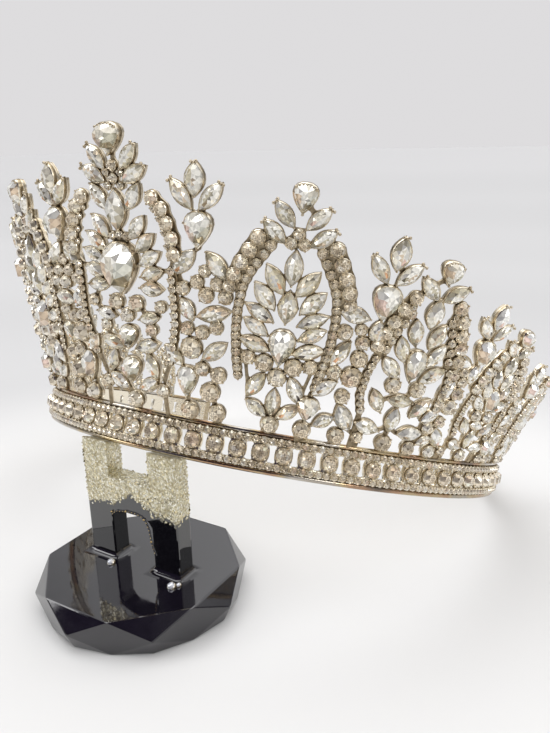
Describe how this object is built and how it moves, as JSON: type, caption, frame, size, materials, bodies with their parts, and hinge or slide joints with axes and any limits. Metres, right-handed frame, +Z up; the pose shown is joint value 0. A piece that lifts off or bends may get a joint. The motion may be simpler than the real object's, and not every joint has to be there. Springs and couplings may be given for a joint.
{
  "type": "pageant crown on a display stand",
  "caption": "Tall open-backed crown of pierced arches and fleurs set with faceted stones, leaning on a small two-post stand.",
  "frame": {"origin": "on the table, under the middle of the whole object's box", "axes": "+X to the crown's left as it is worn, +Y from its front to its open back, +Z up"},
  "size_m": [0.1752, 0.1417, 0.1246],
  "materials": {
    "crown_metal": "bright silver plate over a zinc alloy casting",
    "clear_stones": "clear foiled glass, faceted",
    "field_stones": "clear and champagne foiled glass, faceted",
    "stand_black": "polished black",
    "stand_glitter": "black plastic with pale gold glitter on its upper part"
  },
  "bodies": {
    "root": {"crown_frame": "crown_metal", "stand_base": "stand_black", "stand_fork": "stand_glitter", "centre_top_pear": "clear_stones", "centre_great_pear": "clear_stones", "centre_low_pear": "clear_stones", "centre_foot_pear": "clear_stones", "arch_1_right_top_pear": "clear_stones", "arch_1_right_pear": "clear_stones", "arch_1_left_top_pear": "clear_stones", "arch_1_left_pear": "clear_stones", "arch_2_right_top_pear": "clear_stones", "arch_2_right_pear": "clear_stones", "arch_2_left_top_pear": "clear_stones", "arch_2_left_pear": "clear_stones", "arch_3_right_top_pear": "clear_stones", "arch_3_right_pear": "clear_stones", "arch_3_left_top_pear": "clear_stones", "arch_3_left_pear": "clear_stones", "arch_4_right_top_pear": "clear_stones", "arch_4_right_pear": "clear_stones", "arch_4_left_top_pear": "clear_stones", "arch_4_left_pear": "clear_stones", "fleur_1_right_pear": "clear_stones", "fleur_1_right_foot_pear": "clear_stones", "fleur_1_left_pear": "clear_stones", "fleur_1_left_foot_pear": "clear_stones", "fleur_2_right_pear": "clear_stones", "fleur_2_right_foot_pear": "clear_stones", "fleur_2_left_pear": "clear_stones", "fleur_2_left_foot_pear": "clear_stones", "fleur_3_right_pear": "clear_stones", "fleur_3_left_pear": "clear_stones", "fleur_4_right_pear": "clear_stones", "fleur_4_right_foot_pear": "clear_stones", "fleur_4_left_pear": "clear_stones", "fleur_4_left_foot_pear": "clear_stones", "fleur_5_right_pear": "clear_stones", "fleur_5_left_pear": "clear_stones", "centre_stones": "field_stones", "arch_1_right_stones": "field_stones", "arch_1_left_stones": "field_stones", "arch_2_right_stones": "field_stones", "arch_2_left_stones": "field_stones", "arch_3_right_stones": "field_stones", "arch_3_left_stones": "field_stones", "arch_4_right_stones": "field_stones", "arch_4_left_stones": "field_stones", "fleur_1_right_stones": "field_stones", "fleur_1_left_stones": "field_stones", "fleur_2_right_stones": "field_stones", "fleur_2_left_stones": "field_stones", "fleur_3_right_stones": "field_stones", "fleur_3_left_stones": "field_stones"}
  },
  "joints": []
}
